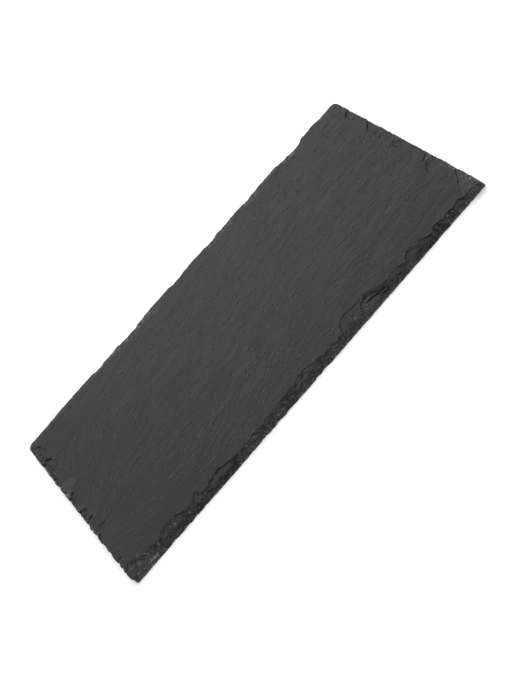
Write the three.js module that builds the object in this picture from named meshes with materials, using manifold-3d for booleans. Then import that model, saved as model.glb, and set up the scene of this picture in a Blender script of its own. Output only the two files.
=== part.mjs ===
// Riven slate slab: one flat stone, 12 by 5 inches, with dressed and chipped edges.
// Millimetres, +Z up. The origin is at the centre of the underside, which lies flat on Z = 0.
// +X runs along the slab. The "near" long edge is at -Y and the "far" one at +Y.
import * as THREE from "three";
import { mergeVertices } from "three/addons/utils/BufferGeometryUtils.js";
import Module from "manifold-3d";

const wasm = await Module();
wasm.setup();

const slab = { length: 300, width: 125, thickness: 5 };
const taper = { left: 1.6, right: 0.5 }; // how much each end closes in towards the near edge
const corners = { near: 1.2, far: 3.6 }; // how far back each corner is knocked off
const slate = { color: 0x454545, roughness: 0.78, metalness: 0 };

const halfLength = slab.length / 2;
const halfWidth = slab.width / 2;
const overshoot = 3; // how far each cut runs out past the stone, so that it leaves no skin
const lobeSteps = 12; // facets round a chip's curved end
const bitePitch = 2.5; // spacing of the outline's points along the scalloped edge
const chipFall = 0.1; // how much a chip's floor falls for each millimetre outward
const facetOverlap = 0.4; // how far one dressed facet runs into the next
const weldWithin = 1e-4; // corners closer than this are one
const random = { times: 48271, modulus: 2147483647 }; // a Lehmer generator's two numbers

// Each edge measures "along" in X or Y and "inward" from the slab's nominal side.
const edges = {
  near: (along, inward) => [along, inward - halfWidth],
  far: (along, inward) => [along, halfWidth - inward],
  left: (along, inward) => [inward - halfLength, along],
  right: (along, inward) => [halfLength - inward, along],
};

// How each edge was dressed: the splitter's blows leave facets between two heights. A facet runs from
// its foot, `footIn` inward at `footUp`, to its head, `headIn` inward at `headUp`. The far edge was
// struck from above, so its facets undercut the stone. `facetVariety` is how much facets differ, as
// shares of their length, depth and foot height.
const dressing = {
  near: { footIn: 0, footUp: 0.6, headIn: 2.9, headUp: 5, pitch: 6, seed: 23770 },
  far: { footIn: 4.2, footUp: 0, headIn: 0.1, headUp: 4.1, pitch: 9, seed: 87122 },
  left: { footIn: 0.1, footUp: 0.7, headIn: 1.1, headUp: 5, pitch: 8, seed: 39608 },
  right: { footIn: 0.1, footUp: 0.7, headIn: 1.4, headUp: 5, pitch: 8, seed: 55446 },
};
const facetVariety = { pitch: 0.4, depth: 0.25, foot: 0.3 };

// Flakes struck off the top of the near edge: centre along it, width at the side, reach inward,
// depth of the floor below the top face, lean of the tip, and squareness (2 is an ellipse).
const nearChips = [
  { at: -141, wide: 23, reach: 9.0, deep: 0.9, lean: -0.25, square: 2.4 },
  { at: -126.5, wide: 13, reach: 6.6, deep: 1.3, lean: -0.2, square: 2.2 },
  { at: -118.5, wide: 10, reach: 7.3, deep: 1.1, lean: 0.1, square: 1.8 },
  { at: -112, wide: 7.5, reach: 8.4, deep: 0.6, lean: 0.1, square: 1.7 },
  { at: -106, wide: 9, reach: 8.2, deep: 1.2, lean: -0.2, square: 1.6 },
  { at: -99.5, wide: 12, reach: 6.4, deep: 1.5, lean: 0, square: 2.6 },
  { at: -91, wide: 12, reach: 8.7, deep: 0.8, lean: 0.15, square: 1.5 },
  { at: -83, wide: 13, reach: 5.1, deep: 1.6, lean: 0, square: 2.6 },
  { at: -71, wide: 27, reach: 6.5, deep: 1.0, lean: -0.1, square: 2 },
  { at: -57, wide: 17, reach: 4.1, deep: 1.8, lean: -0.2, square: 2 },
  { at: -46.5, wide: 12, reach: 5.1, deep: 1.4, lean: 0.2, square: 2.4 },
  { at: -39.5, wide: 10, reach: 5.0, deep: 1.7, lean: 0, square: 2.2 },
  { at: -33.5, wide: 9, reach: 6.3, deep: 0.9, lean: -0.1, square: 2 },
  { at: -25, wide: 14, reach: 5.7, deep: 1.3, lean: 0.2, square: 2.4 },
  { at: -16, wide: 12, reach: 5.0, deep: 1.6, lean: 0, square: 2.4 },
  { at: -1, wide: 24, reach: 7.5, deep: 0.8, lean: 0, square: 2.2 },
  { at: 14, wide: 15, reach: 5.4, deep: 1.4, lean: -0.3, square: 2 },
  { at: 23.5, wide: 11, reach: 5.4, deep: 1.2, lean: 0, square: 2 },
  { at: 29.5, wide: 9, reach: 4.4, deep: 1.7, lean: 0, square: 2 },
  { at: 49, wide: 39, reach: 12, deep: 0.9, lean: -0.36, square: 2 },
  { at: 56, wide: 19, reach: 9.4, deep: 1.3, lean: -0.1, square: 2.6 },
  { at: 61, wide: 23, reach: 6.1, deep: 2.5, lean: -0.35, square: 2.2 },
  { at: 72, wide: 13, reach: 5.8, deep: 1.3, lean: 0, square: 2.4 },
  { at: 82, wide: 17, reach: 5.8, deep: 1.6, lean: -0.2, square: 2.6 },
  { at: 93, wide: 14, reach: 7.8, deep: 1.0, lean: 0, square: 3.4 },
  { at: 101.5, wide: 10, reach: 7.0, deep: 1.4, lean: -0.3, square: 2 },
  { at: 111, wide: 14, reach: 6.4, deep: 1.9, lean: 0.1, square: 2.2 },
  { at: 121, wide: 15, reach: 5.0, deep: 1.7, lean: 0, square: 2.4 },
  { at: 130.5, wide: 13, reach: 5.0, deep: 1.5, lean: 0, square: 2.2 },
  { at: 140.5, wide: 15, reach: 3.6, deep: 1.2, lean: 0, square: 2.4 },
];

// Thin flakes off the top of the far edge.
const farChips = [
  { at: -48, wide: 18, reach: 5.6, deep: 0.35, lean: 0.2, square: 2.2 },
  { at: 33, wide: 12, reach: 4.6, deep: 0.3, lean: 0, square: 2 },
  { at: 41.5, wide: 9, reach: 4.4, deep: 0.45, lean: 0.1, square: 2.6 },
  { at: 67, wide: 13, reach: 4.0, deep: 0.3, lean: 0, square: 2.4 },
  { at: 104, wide: 17, reach: 5.4, deep: 0.35, lean: 0.2, square: 2 },
  { at: 138, wide: 8, reach: 4.0, deep: 0.3, lean: -0.3, square: 2 },
];

// Scallops bitten out of the far edge through the whole thickness.
const farBites = [
  { at: -138, wide: 30, reach: 0.9, square: 4 },
  { at: -82, wide: 9, reach: 1.2, square: 3 },
  { at: -71, wide: 18, reach: 0.8, square: 3 },
  { at: -56, wide: 13, reach: 1.6, square: 3 },
  { at: -47, wide: 6, reach: 1.7, square: 2 },
  { at: -41, wide: 9, reach: 0.8, square: 2 },
  { at: -6, wide: 13, reach: 1.5, square: 2.4 },
  { at: 3, wide: 12, reach: 0.7, square: 2 },
  { at: 18, wide: 12, reach: 0.6, square: 3 },
  { at: 27, wide: 11, reach: 1.3, square: 2.2 },
  { at: 64, wide: 8, reach: 1.1, square: 2 },
  { at: 101, wide: 17, reach: 1.5, square: 3 },
  { at: 109, wide: 16, reach: 2.5, square: 2.4 },
  { at: 121, wide: 12, reach: 0.8, square: 3 },
  { at: 139, wide: 17, reach: 1.2, square: 3.4 },
];

// Flakes and splits at the two ends. Each is a plan outline in [along, inward] points. Its floor lies
// `deep` below the top face at the first point, and rises from there by `rise` along and inward.
const endFlakes = {
  left: [
    {
      deep: 1.1,
      rise: [-0.09, 0],
      outline: [[54.2, 7.2], [56.4, 4], [57, -2], [45, -2], [45.2, 5.5], [48.5, 8.8]],
    },
    {
      deep: 1.3,
      rise: [-0.2, 0.02],
      outline: [[41.2, 9], [42.6, 6.4], [44.6, 3.8], [45.5, -2], [36.5, -2], [36.6, 9.5]],
    },
    {
      deep: 0.5,
      rise: [-0.1, 0.01],
      outline: [[36.3, 10.2], [35.6, 3.2], [32, -2], [30, -2], [31, 8]],
    },
    {
      deep: 0.4,
      rise: [0, 0.01],
      outline: [[11, 7], [14.3, 10.5], [17.2, 13.4], [21.5, 10], [23, -2], [11.2, -2]],
    },
    {
      deep: 0.9,
      rise: [-0.12, 0.03],
      outline: [[10.6, 6.2], [10.2, -2], [2, -2], [3.4, 5.5]],
    },
    {
      deep: 0.9,
      rise: [-0.12, 0.03],
      outline: [[-4.8, 6.6], [-2.2, -2], [-9, -2], [-9.5, 5]],
    },
    {
      deep: 0.8,
      rise: [-0.1, 0.03],
      outline: [[-10.6, 7.2], [-12.4, -2], [-19, -2], [-17, 6]],
    },
    {
      deep: 0.7,
      rise: [-0.08, 0.02],
      outline: [[-20.8, 11.6], [-19.2, 6.4], [-23, -2], [-30, -2], [-28, 4]],
    },
    {
      deep: 0.8,
      rise: [-0.08, 0],
      outline: [[-44.6, 4.4], [-45.4, -2], [-52, -2], [-50.5, 4]],
    },
  ],
  right: [
    {
      deep: 1.3,
      rise: [0.12, 0],
      outline: [[44.6, 6.4], [39, -2], [49.4, -2], [48.4, 1.8], [46.6, 4.2]],
    },
    {
      deep: 0.9,
      rise: [0.06, 0],
      outline: [[23.6, 8.1], [16.4, 4], [18, -2], [31.5, -2], [29.4, 2.4], [25.9, 5.4]],
    },
    {
      deep: 0.4,
      rise: [0, 0],
      outline: [[-1.4, 7.6], [-2.9, 6.6], [-2.6, 4.2], [0.6, 2.6], [4.2, 5.4], [2.6, 7.1]],
    },
    {
      deep: 0.8,
      rise: [0.08, 0],
      outline: [[-22.4, 9], [-26, -2], [-19.2, -2], [-21.4, 5.8]],
    },
    {
      deep: 0.7,
      rise: [0.05, 0],
      outline: [[-30.6, 12.6], [-33.4, 6.4], [-34, -2], [-24, -2], [-24.4, 4.4], [-26.1, 7.6]],
    },
    {
      deep: 0.5,
      rise: [0, 0],
      outline: [[-56.9, 14.1], [-66, 13.6], [-66, -2], [-40, -2], [-42.2, 2.1], [-45.9, 5.8],
        [-52.6, 11.7]],
    },
  ],
};

// A repeatable random number from 0 to 1 for each call.
function dice(seed) {
  let state = seed;
  return () => {
    state = (state * random.times) % random.modulus;
    return state / random.modulus;
  };
}

// A solid from a closed geometry, with its shared corners merged. Two of the four edges mirror what is
// made for them, so a solid that comes out with its faces turned in is turned back.
function solidOf(geometry) {
  geometry.deleteAttribute("normal");
  geometry.deleteAttribute("uv");
  const merged = mergeVertices(geometry, weldWithin);
  const vertProperties = merged.getAttribute("position").array;
  const triVerts = new Uint32Array(merged.index.array);
  const solid = new wasm.Manifold(new wasm.Mesh({ numProp: 3, vertProperties, triVerts }));
  if (solid.volume() > 0) return solid;
  triVerts.reverse();
  return new wasm.Manifold(new wasm.Mesh({ numProp: 3, vertProperties, triVerts }));
}

function prism(points, depth) {
  const shape = new THREE.Shape(points.map(([x, y]) => new THREE.Vector2(x, y)));
  return new THREE.ExtrudeGeometry(shape, { depth, bevelEnabled: false });
}

// The solid of a geometry whose points `place` turns into an edge's [along, inward, up] measures.
function solidAt(edge, geometry, place) {
  const position = geometry.getAttribute("position");
  for (let i = 0; i < position.count; i++) {
    const [along, inward, up] = place(position.getX(i), position.getY(i), position.getZ(i));
    position.setXYZ(i, ...edges[edge](along, inward), up);
  }
  return solidOf(geometry);
}

// All that a flake takes off: what stands over its outline, above a floor that lies `deep` below the
// top face at `from` and tilts by `rise`.
function flakeSolid(edge, { outline, deep, rise, from = outline[0] }) {
  const floor = slab.thickness - deep;
  return solidAt(edge, prism(outline, slab.thickness), (along, inward, height) => {
    const tilt = rise[0] * (along - from[0]) + rise[1] * (inward - from[1]);
    return [along, inward, floor + tilt + height];
  });
}

// How far a chip or bite reaches inward at s, which runs from -1 to 1 across its width.
function lobeReach({ reach, square }, s) {
  return reach * (1 - Math.abs(s) ** square) ** (1 / square);
}

// A chip is a rounded flake, whose floor falls away outward to meet the dressed facets.
function chipSolid(edge, chip) {
  const half = chip.wide / 2;
  const outline = [[chip.at - half, -overshoot]];
  for (let i = 0; i <= lobeSteps; i++) {
    const s = -Math.cos((Math.PI * i) / lobeSteps);
    outline.push([chip.at + half * (s + chip.lean * (1 - s * s)), lobeReach(chip, s)]);
  }
  outline.push([chip.at + half, -overshoot]);
  return flakeSolid(edge, {
    outline,
    deep: chip.deep,
    rise: [0, chipFall],
    from: [chip.at, chip.reach],
  });
}

// The prisms that one edge's dressing takes off, facet after facet, none quite like the last.
function dressingSolids(edge) {
  const { footIn, footUp, headIn, headUp, pitch, seed } = dressing[edge];
  const roll = dice(seed);
  const vary = (middle, share) => middle * (1 + share * (2 * roll() - 1));
  const half = edge === "near" || edge === "far" ? halfLength : halfWidth;
  const cuts = [];
  let start = -half - overshoot;
  while (start < half) {
    const end = start + vary(pitch, facetVariety.pitch);
    const depth = vary(1, facetVariety.depth);
    const foot = [footIn * depth, vary(footUp, facetVariety.foot)];
    const head = [headIn * depth, headUp];
    cuts.push(facetSolid(edge, foot, head, start, end + facetOverlap));
    start = end;
  }
  return cuts;
}

// One facet's prism, from `start` to `end` along its edge: all that lies outside the line from foot to
// head. A facet whose foot is further in than its head undercuts the stone, and stops at its head.
function facetSolid(edge, foot, head, start, end) {
  const undercut = foot[0] > head[0];
  const low = undercut ? -overshoot : foot[1];
  const high = undercut ? head[1] : slab.thickness + overshoot;
  const lean = (head[0] - foot[0]) / (head[1] - foot[1]);
  const inwardAt = (up) => foot[0] + lean * (up - foot[1]);
  const profile = [
    [-overshoot, low],
    [inwardAt(low), low],
    [inwardAt(high), high],
    [-overshoot, high],
  ];
  return solidAt(edge, prism(profile, end - start), (inward, up, along) => [start + along, inward, up]);
}

function biteAt(x) {
  let deepest = 0;
  for (const bite of farBites) {
    const s = (x - bite.at) / (bite.wide / 2);
    if (Math.abs(s) < 1) deepest = Math.max(deepest, lobeReach(bite, s));
  }
  return deepest;
}

// The slab's outline at full size: straight on the near side and at the two ends, which close in a
// little towards it, and scalloped on the far side. Each corner is knocked off.
function slabOutline() {
  const nearLeft = taper.left - halfLength;
  const nearRight = halfLength - taper.right;
  const farRound = corners.far * (1 - Math.SQRT1_2);
  const points = [
    [nearLeft + corners.near, -halfWidth],
    [nearRight - corners.near, -halfWidth],
    [nearRight, corners.near - halfWidth],
    [halfLength, halfWidth - corners.far],
    [halfLength - farRound, halfWidth - farRound],
  ];
  for (let x = halfLength - corners.far; x > corners.far - halfLength; x -= bitePitch)
    points.push([x, halfWidth - biteAt(x)]);
  points.push([farRound - halfLength, halfWidth - farRound]);
  points.push([-halfLength, halfWidth - corners.far]);
  points.push([nearLeft, corners.near - halfWidth]);
  return points;
}

function slabSolid() {
  const cuts = [
    ...Object.keys(edges).flatMap(dressingSolids),
    ...nearChips.map((chip) => chipSolid("near", chip)),
    ...farChips.map((chip) => chipSolid("far", chip)),
    ...endFlakes.left.map((flake) => flakeSolid("left", flake)),
    ...endFlakes.right.map((flake) => flakeSolid("right", flake)),
  ];
  const blank = solidOf(prism(slabOutline(), slab.thickness));
  return cuts.reduce((stone, cut) => stone.subtract(cut), blank);
}

// Each triangle keeps its own corners, so that the facets stay flat when they are shaded.
function geometryOf(solid) {
  const { vertProperties, triVerts } = solid.getMesh();
  const indexed = new THREE.BufferGeometry();
  indexed.setAttribute("position", new THREE.BufferAttribute(vertProperties, 3));
  indexed.setIndex(new THREE.BufferAttribute(triVerts, 1));
  const geometry = indexed.toNonIndexed();
  geometry.computeVertexNormals();
  return geometry;
}

const slateSlab = new THREE.Mesh(geometryOf(slabSolid()), new THREE.MeshStandardMaterial(slate));
slateSlab.name = "slate_slab";

const part = new THREE.Group();
part.add(slateSlab);

export default part;
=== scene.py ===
from math import cos, exp, hypot, pi, radians, sin, sqrt

import bmesh
import bpy
from mathutils import Matrix, Vector, noise


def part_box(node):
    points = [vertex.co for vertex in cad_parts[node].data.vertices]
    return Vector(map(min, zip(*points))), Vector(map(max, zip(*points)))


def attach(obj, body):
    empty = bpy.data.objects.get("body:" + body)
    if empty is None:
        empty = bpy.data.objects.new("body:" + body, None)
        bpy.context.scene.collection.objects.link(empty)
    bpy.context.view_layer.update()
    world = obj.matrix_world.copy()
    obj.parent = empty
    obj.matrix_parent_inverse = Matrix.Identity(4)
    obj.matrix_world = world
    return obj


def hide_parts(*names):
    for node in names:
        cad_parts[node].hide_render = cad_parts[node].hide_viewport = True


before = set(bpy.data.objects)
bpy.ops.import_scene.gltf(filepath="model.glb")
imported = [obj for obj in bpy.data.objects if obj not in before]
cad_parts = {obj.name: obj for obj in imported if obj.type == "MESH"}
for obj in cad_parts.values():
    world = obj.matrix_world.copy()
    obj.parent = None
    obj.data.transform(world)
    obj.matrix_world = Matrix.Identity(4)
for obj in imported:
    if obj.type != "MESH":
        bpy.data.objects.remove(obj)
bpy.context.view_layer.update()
print("frame loaded")

mm = 0.001
nodeLow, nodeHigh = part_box("slate_slab")
halfLength = (nodeHigh.x - nodeLow.x) / 2 / mm
halfWidth = (nodeHigh.y - nodeLow.y) / 2 / mm
thickness = (nodeHigh.z - nodeLow.z) / mm
centreX = (nodeHigh.x + nodeLow.x) / 2 / mm
centreY = (nodeHigh.y + nodeLow.y) / 2 / mm
tiny = 0.01  # a point this near the block's surface counts as on it

# the slab as a whole, in millimetres and degrees
slab = {
    "columns": 75,  # coarse cells along the slab
    "rows": 32,  # and across it
    "layers": 6,  # cleavage layers that show in the broken edges
    "pull": 14,  # how far in the top and bottom follow a side that is drawn in
    "grainTilt": 12,  # between the streaks and the long edges
    "narrowing": 3.2,  # how much less the near side leans at its right end
    "narrowingFrom": 131,
    "narrowingRun": 14,
    "nearCorner": 1.4,
    "farLeftCorner": 3.4,
    "farRightCorner": 4.2,
    "brokenReach": 15,  # flakes, splits and flecks lie within this of an edge
    "shallowest": 0.08,  # least depth of an angular flake's floor
    "knockFade": 2,  # how softly a knock starts and ends along the rim
    "stepFade": 7,  # how far the drop below a step of the face reaches
    "rimSteps": 3,  # how often a rim's height is found again where it has moved to
    "sharpAngle": 38,  # a fold of more than this looks sharp
}

# each side: how far in its fine cells reach; inset at its foot and head, how much further its head, and all
# of it, stand in at the near edge, and the heights where the lean starts and ends; how jagged it is and how
# much more so at the head; how fresh its flakes look; how far in its rim has crumbled and how deep
sides = {
    "near": {"fine": 14.5, "foot": 0.1, "head": 4.7, "twist": 0, "taper": 0, "low": 0.4, "high": 5,
             "jag": 0.7, "loose": 3.2, "fresh": 1, "wearReach": 2.2, "wearDepth": 0.3, "seed": 3.1},
    "far": {"fine": 7.5, "foot": 4.2, "head": -0.3, "twist": 0, "taper": 0, "low": 0, "high": 4.1,
            "jag": 0.6, "loose": 0, "fresh": 0.2, "wearReach": 1.8, "wearDepth": 0.15, "seed": 11.7},
    "left": {"fine": 14.5, "foot": 0.1, "head": -0.3, "twist": 0, "taper": 1.6, "low": 0.7, "high": 5,
             "jag": 1.3, "loose": 0, "fresh": 0.3, "wearReach": 4.2, "wearDepth": 0.5, "seed": 5.3},
    "right": {"fine": 14.5, "foot": 0, "head": -0.2, "twist": 2, "taper": 0.5, "low": 0.7, "high": 5,
              "jag": 1.1, "loose": 0, "fresh": 0.2, "wearReach": 2.6, "wearDepth": 0.35, "seed": 7.9},
}

# rounded flakes off the top of the near and far edges: centre along the edge, width, reach inward, depth,
# lean, squareness, fall of the floor for each millimetre outward, how hackly it is, how dark the painted
# shade line at its foot is, and how pale or dark it is
roundedFlakes = {
    "near": [
        (-125.5, 13, 7.6, 0.05, -0.2, 2.2, 0.38, 0.25, 0, -0.6),
        (-98, 12, 6, 0.05, 0, 2.6, 0.6, 0.1, 0, -0.4),
        (-83, 10, 4.7, 0.6, 0, 2.6, 0.5, 0.6, 0.5, -0.5),
        (-52, 10, 4.4, 0.6, 0, 2.4, 0.4, 0.5, 0.4, 0.4),
        (-45.5, 11, 5.2, 0.6, 0.2, 2.4, 0.4, 0.7, 0.7, 0.6),
        (-39.5, 10, 4.9, 0.6, 0, 2.2, 0.4, 0.5, 0.9, 0.2),
        (-25, 14, 5.4, 0.5, 0.2, 2.4, 0.4, 0.6, 0.5, 0.6),
        (-16, 12, 5, 0.6, 0, 2.4, 0.45, 0.4, 0.7, 0),
        (8, 9, 5, 0.5, 0, 2, 0.4, 0.8, 0.3, 0),
        (14, 13, 5.4, 0.6, -0.3, 2, 0.45, 0.8, 0.5, 0.1),
        (23.5, 9, 5.2, 0.5, 0, 1.6, 0.35, 0.7, 0.9, 0.7),
        (29.5, 9, 4.2, 0.8, 0, 2, 0.5, 0.1, 0.3, -0.3),
        (113, 15, 5.4, 0.9, 0.1, 2.2, 0.45, 1, 0.6, -0.1),
        (122, 13, 5, 0.7, 0, 2.2, 0.3, 0.8, 0.9, 0.7),
        (131, 10, 5, 0.6, 0, 2, 0.3, 0.5, 1, 0.5),
    ],
    "far": [
        (-76, 24, 3.4, 0.1, 0, 2.4, 0.06, 0.4, 0, 0),
        (-48, 22, 5.6, 0.15, 0.2, 2.2, 0.04, 0.2, 0, 0),
        (28, 14, 5.4, 0.1, 0, 2, 0.04, 0.3, 0, 0),
        (41.5, 11, 4.4, 0.2, 0.1, 2.6, 0.04, 0.2, 0.5, 0),
        (67, 14, 3.6, 0.12, 0, 2.4, 0.06, 0.2, 0, 0),
        (104, 17, 5.4, 0.12, 0.2, 2, 0.05, 0.2, 0.3, 0),
        (138, 8, 4, 0.12, -0.3, 2, 0.05, 0.2, 0, 0),
    ],
}

# scallops out of an edge, on the near side only at its foot: centre, width, reach, squareness
bites = {
    "far": [
        (-138, 30, 0.9, 4), (-82, 9, 1.2, 3), (-71, 18, 0.8, 3), (-56, 13, 1.6, 3), (-47, 6, 1.7, 2),
        (-41, 9, 0.8, 2), (-6, 13, 1.5, 2.4), (3, 12, 0.7, 2), (18, 12, 0.6, 3), (27, 11, 1.3, 2.2),
        (64, 8, 1.1, 2), (101, 17, 1.5, 3), (109, 16, 2.5, 2.4), (121, 12, 0.8, 3), (141.5, 22, 1.2, 3.4),
    ],
    "near": [
        (-117, 5, 0.35, 2), (-105.5, 5, 0.4, 3), (-99, 4, 0.35, 2), (-91, 3, 0.35, 2), (-41, 8, 0.5, 2),
        (-28, 5, 0.3, 2), (-20, 5, 0.4, 2), (4.5, 4, 0.4, 2), (11, 6, 0.5, 2),
    ],
    "left": [
        (36, 3, 0.4, 2), (20, 3, 0.4, 2), (7, 3, 0.5, 2), (-14, 3, 0.4, 2), (-24, 3, 0.6, 2),
        (-32, 4, 0.4, 2), (-38.6, 3, 0.6, 2), (-47.6, 3, 0.7, 2), (-52, 3, 0.5, 2),
    ],
}

# angular flakes: depth at the first point, rise of the floor along and inward, how hackly it is, how dark the
# painted shade line at its foot is and where that starts and stops, how pale or dark the floor is, and the
# outline, as points along the side and inward from it
angularFlakes = {
    "near": [
        (0.35, (0, 0.1), 0.65, 0.5, (-152, -129), 0.3,
         [(-139.5, 8.8), (-136.5, 7.2), (-133, 5.8), (-129, 4.4), (-128, -2), (-151, -2), (-151, 9.4),
          (-144, 9.6)]),
        (0.35, (0, 0.1), 0.3, 0.8, (-107.6, -100.5), -0.6,
         [(-107, 9.2), (-104.6, 7.3), (-101.6, 5.6), (-99, 4.6), (-98, -2), (-120, -2), (-120.2, 5.5),
          (-118.8, 8), (-115, 9.3), (-110, 9.3), (-109, 8.6)]),
        (0.35, (0, 0.12), 0.2, 0.6, (-92, -85.5), -0.4,
         [(-90.5, 8.9), (-89, 9), (-87.8, 7.6), (-86.6, 5.4), (-86, 3.5), (-86, -2), (-95, -2), (-94.5, 4.8),
          (-92.6, 6.8)]),
        (0.8, (0, 0.12), 0.1, 1.1, (-80.5, -60), -0.2,
         [(-78.6, 6.6), (-76, 7.2), (-71, 7), (-67, 6.6), (-64, 5.6), (-61.5, 4.2), (-58, 3.3), (-54, 2.8),
          (-53, -2), (-84, -2), (-83, 3.8), (-81.4, 5.4)]),
        (1.7, (0, 0.2), 0.4, 0.5, (-77, -60), -0.6,
         [(-76, 2.6), (-72, 3.1), (-68, 3.4), (-63, 3.3), (-59, 2.4), (-55, 0.4), (-54, -2), (-78, -2)]),
        (0.25, (0, 0.2), 0.3, 0.7, (-34.5, -30), 0.2,
         [(-34, 5.6), (-32.6, 6.6), (-31.4, 6.4), (-30.4, 5), (-30, -2), (-35, -2)]),
        (0.45, (0, 0.05), 0.1, 1.2, (-9.5, 9), 0.5,
         [(-8, 5.6), (-6, 6.6), (-3, 7.3), (0, 7.6), (3, 7.6), (6, 6.9), (9, 5.7), (11, 5), (12, -2),
          (-13, -2), (-12, 4.6)]),
        (0.9, (0, 0.1), 0.1, 1.2, (-9.5, 1), 0.5,
         [(-8, 4.9), (-5, 5.4), (-2, 6.3), (0, 6.8), (3, 5.8), (4.5, 4.2), (4.5, -2), (-10, -2),
          (-9.5, 4.2)]),
        (0.9, (0, 0.06), 0.1, 1.1, (30, 51), 0,
         [(31, 3.6), (32.5, 6), (34, 9), (37, 10.5), (39.5, 11.8), (42, 12.1), (44.5, 11.5), (48, 10.8),
          (50.5, 11), (55, 11.2), (60, 10), (63, 8), (66, 5.8), (67.5, -2), (31, -2)]),
        (1.25, (0, 0.05), 0.1, 1.4, (49, 64), 0.6,
         [(53, 9.6), (57, 9.7), (60, 8.7), (62, 7.2), (64.5, 5.4), (66, -2), (47, -2), (48.5, 6),
          (50.5, 8.4)]),
        (1.8, (0, 0.1), 0.1, 1.2, (54, 68), 0.5,
         [(55, 6.1), (59, 6.1), (61.5, 5.3), (66, 4.8), (69, 4), (70, -2), (50, -2), (51.5, 3.8), (53, 5.4)]),
        (0.5, (0, 0.12), 0.15, 0.8, (64, 87), -0.1,
         [(70, 5.8), (75, 6.2), (80, 6), (85, 5.2), (87, -2), (64, -2), (66, 5.2)]),
        (1.1, (0, 0.2), 0.35, 0.8, (70, 86), 0,
         [(72, 3.2), (76, 3.9), (80, 4.2), (85, 4.3), (86, -2), (68, -2), (69, 2)]),
        (0.55, (0, 0.05), 0.08, 0.9, (86.5, 99), -0.2,
         [(88.6, 7.4), (90.6, 8.1), (95, 7.9), (96.6, 6.4), (98.2, 4.4), (98.6, -2), (85.6, -2), (86, 4.6),
          (87, 6)]),
        (0.6, (0, 0.2), 0.1, 1.2, (99.6, 108), -0.3,
         [(99.4, 7.1), (102, 6.3), (105, 4.8), (107.5, 4), (108, -2), (99.6, -2), (99, 4)]),
        (0.6, (0, 0.1), 0.1, 0.9, (136, 148), 0.3,
         [(137, 3.2), (139.5, 3.8), (142, 3.6), (144.5, 2.6), (147, 1), (148, -2), (135, -2)]),
    ],
    "left": [
        (0.5, (-0.05, 0), 0.1, 0.6, (53.8, 57), 0,
         [(54.2, 6.6), (56.6, 4.2), (58.6, 2), (59.5, -2), (45, -2), (45.2, 5.5), (48.5, 8.4)]),
        (0.6, (-0.07, 0.02), 0.1, 0.5, (40.2, 42.8), -0.4,
         [(41.2, 8.4), (42.6, 6.4), (44.2, 3.8), (43.2, 1.4), (43, -2), (36.5, -2), (36.6, 8.5)]),
        (0.35, (-0.06, 0.01), 0.1, 0.6, (34.4, 36.5), -0.5,
         [(35, 9.8), (35.6, 3.2), (32, -2), (30, -2), (31, 7)]),
        (0.12, (0, 0), 0.1, 0, (11, 22), 1.2,
         [(11, 6), (14.3, 10.5), (17.2, 13.4), (21, 9), (22, 3), (19, -2), (11.2, -2)]),
        (0.5, (-0.08, 0.03), 0.1, 0.5, (9, 11.5), -0.8,
         [(10.6, 6.2), (9.6, 2), (8, -2), (2, -2), (3.4, 5.5)]),
        (0.5, (-0.08, 0.03), 0.1, 0.4, (-5.6, -1), -0.6,
         [(-4.8, 6.6), (-2.6, 2), (-4, -2), (-9, -2), (-9.5, 5)]),
        (0.45, (-0.06, 0.02), 0.1, 0.5, (-12.4, -10), -0.2,
         [(-10.6, 7.2), (-12, 2), (-13, -2), (-19, -2), (-17, 6)]),
        (0.35, (-0.05, 0.02), 0.1, 0.1, (-22, -18), -0.8,
         [(-20.8, 10.6), (-19.2, 6.4), (-23, -2), (-26, -2), (-23, 4)]),
        (0.5, (-0.06, 0), 0.1, 0.6, (-46, -44), 0.3,
         [(-44.6, 4.4), (-45.4, -2), (-52, -2), (-50.5, 4)]),
    ],
    "right": [
        (0.4, (-0.04, 0), 0.1, 0.7, (44.4, 49.5), -0.3,
         [(44.6, 6.4), (39, -2), (49.4, -2), (48.4, 1.8), (46.6, 4.2)]),
        (0.4, (-0.05, 0), 0.1, 0.6, (23.4, 31), 0.3,
         [(23.6, 8.1), (16.4, 4), (18, -2), (31.5, -2), (29.4, 2.4), (25.9, 5.4)]),
        (0.3, (0, 0), 0.1, 0.7, (15, 24), -2.5,
         [(22, 6.5), (17.6, 7.4), (16.6, 4.8), (19.8, 3.4), (22.4, 4.8)]),
        (0.2, (0, 0), 0.1, 2, (-4, 5), 0.3,
         [(-1.4, 7.6), (-2.9, 6.6), (-2.6, 4.2), (0.6, 2.6), (4.2, 5.4), (2.6, 7.1)]),
        (0.3, (-0.04, 0), 0.1, 0.6, (-22.8, -19), 0.6,
         [(-22.4, 9), (-26, -2), (-19.2, -2), (-21.4, 5.8)]),
        (0.3, (-0.04, 0), 0.1, 0.8, (-31.5, -23.5), 0.4,
         [(-30.6, 12.6), (-33.4, 6.4), (-34, -2), (-24, -2), (-24.4, 4.4), (-26.1, 7.6)]),
        (0.3, (-0.02, 0), 0.1, 1, (-58.5, -41), 1.2,
         [(-56.9, 14.1), (-66, 13.6), (-66, -2), (-40, -2), (-42.2, 2.1), (-45.9, 5.8), (-52.6, 11.7)]),
    ],
}

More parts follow.
